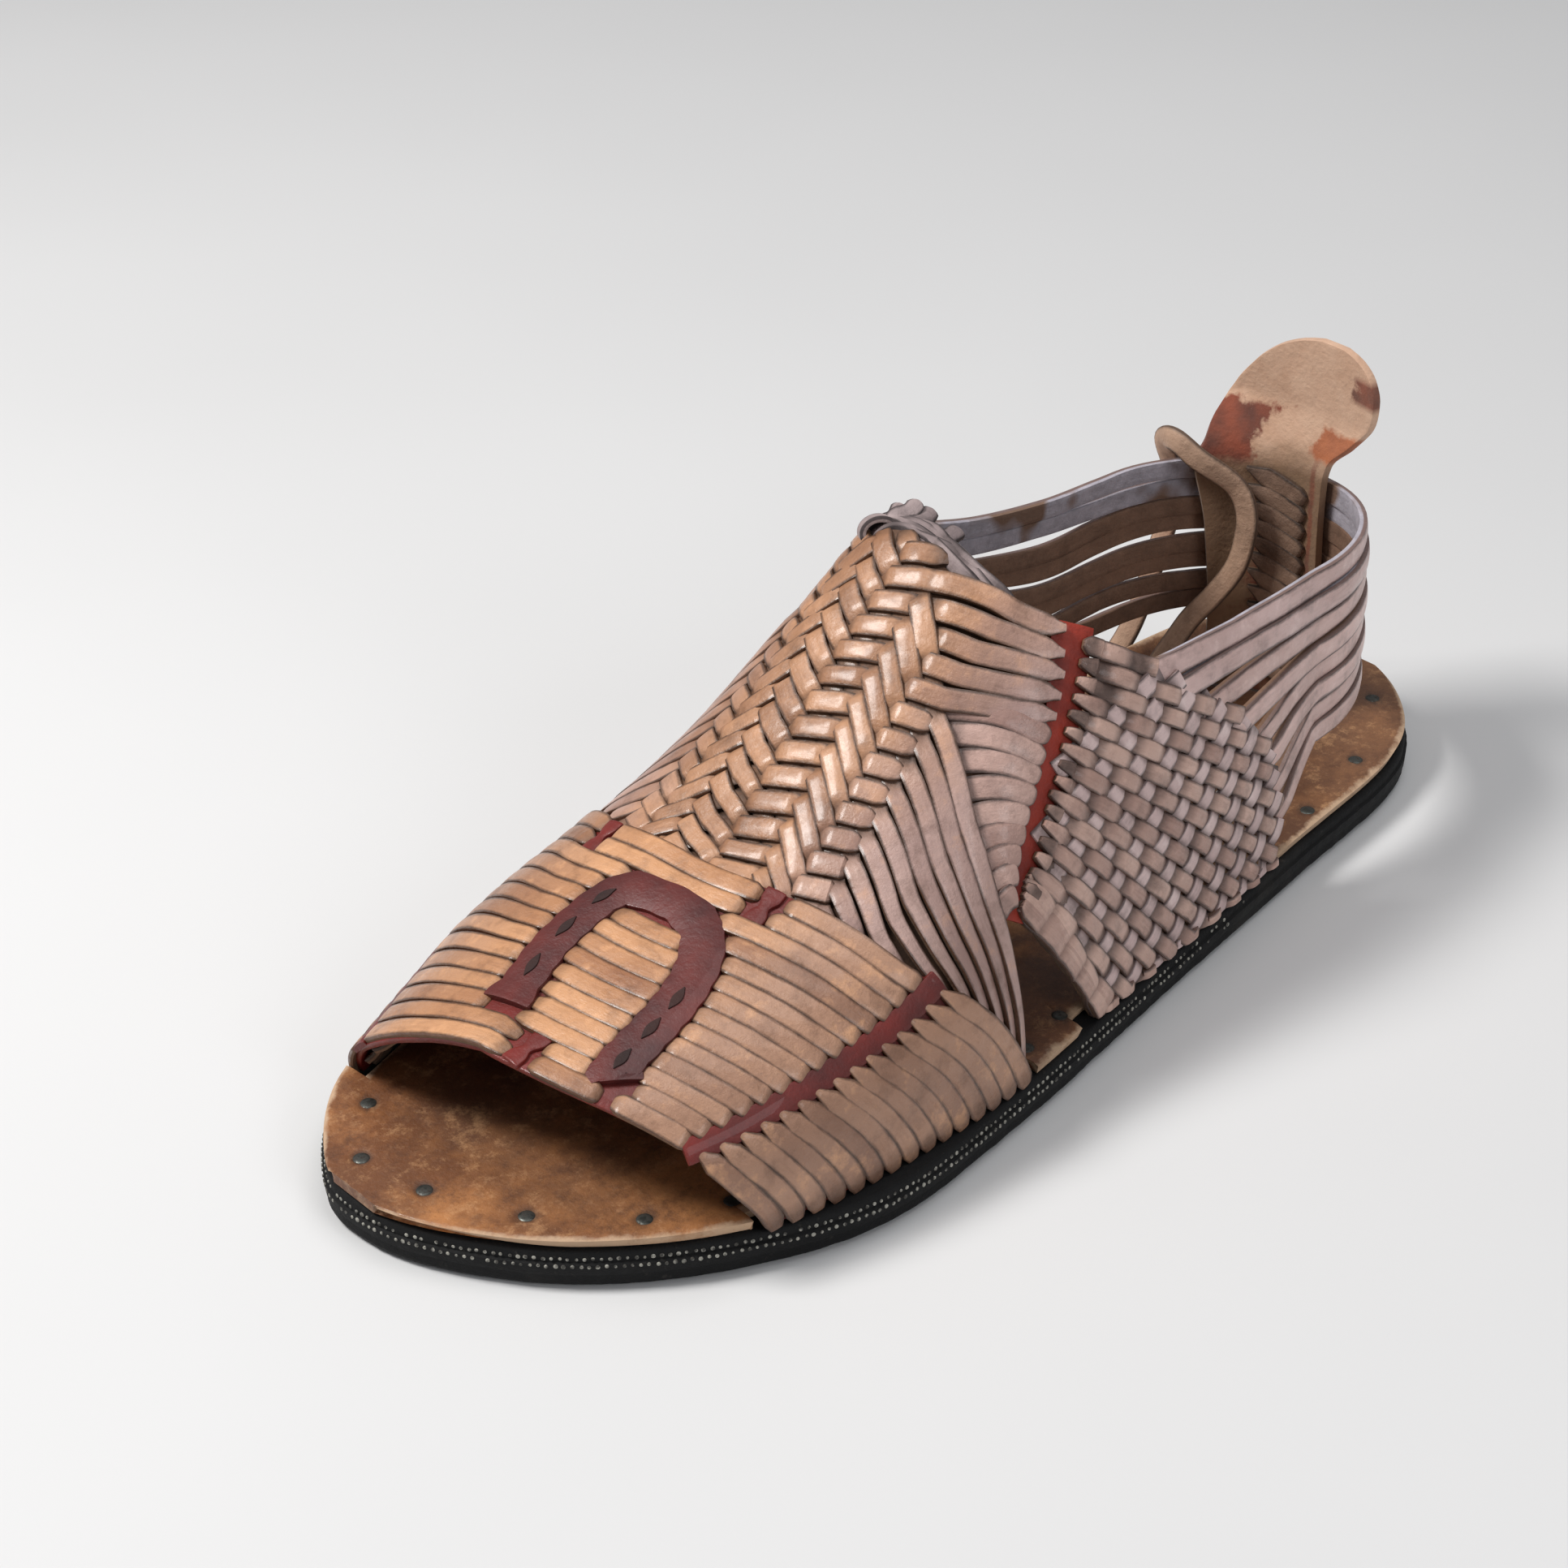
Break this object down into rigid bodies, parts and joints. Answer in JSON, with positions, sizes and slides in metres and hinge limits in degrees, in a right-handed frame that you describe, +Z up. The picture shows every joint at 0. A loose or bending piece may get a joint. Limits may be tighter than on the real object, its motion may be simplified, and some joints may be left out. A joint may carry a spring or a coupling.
{
  "type": "huarache sandal",
  "caption": "Left huarache: tyre-rubber sole, nailed leather insole, upper woven from leather strips with an open toe, heel straps round an upright stay with a pull paddle, and a thong",
  "frame": {"origin": "on the floor under the middle of the sole's length and width", "axes": "+X to the toe, +Y to the outer side of the foot, +Z up"},
  "size_m": [0.279, 0.1129, 0.0963],
  "materials": {
    "rubber": "worn black tyre rubber, matt",
    "insole_leather": "mottled brown vegetable-tanned leather, dull",
    "strip_leather": "tan strips, glossy grain, dyed red at the stripes",
    "stay_leather": "stained tan suede",
    "nail_steel": "dull steel",
    "thong_leather": "grey-brown suede"
  },
  "bodies": {
    "root": {"outsole": "rubber", "insole": "insole_leather", "upper": "strip_leather", "heel_stay": "stay_leather", "nail_1": "nail_steel", "nail_2": "nail_steel", "nail_3": "nail_steel", "nail_4": "nail_steel", "nail_5": "nail_steel", "nail_6": "nail_steel", "nail_7": "nail_steel", "nail_8": "nail_steel", "nail_9": "nail_steel", "nail_10": "nail_steel", "nail_11": "nail_steel", "nail_12": "nail_steel", "thong_knot": "thong_leather", "thong": "thong_leather"}
  },
  "joints": []
}
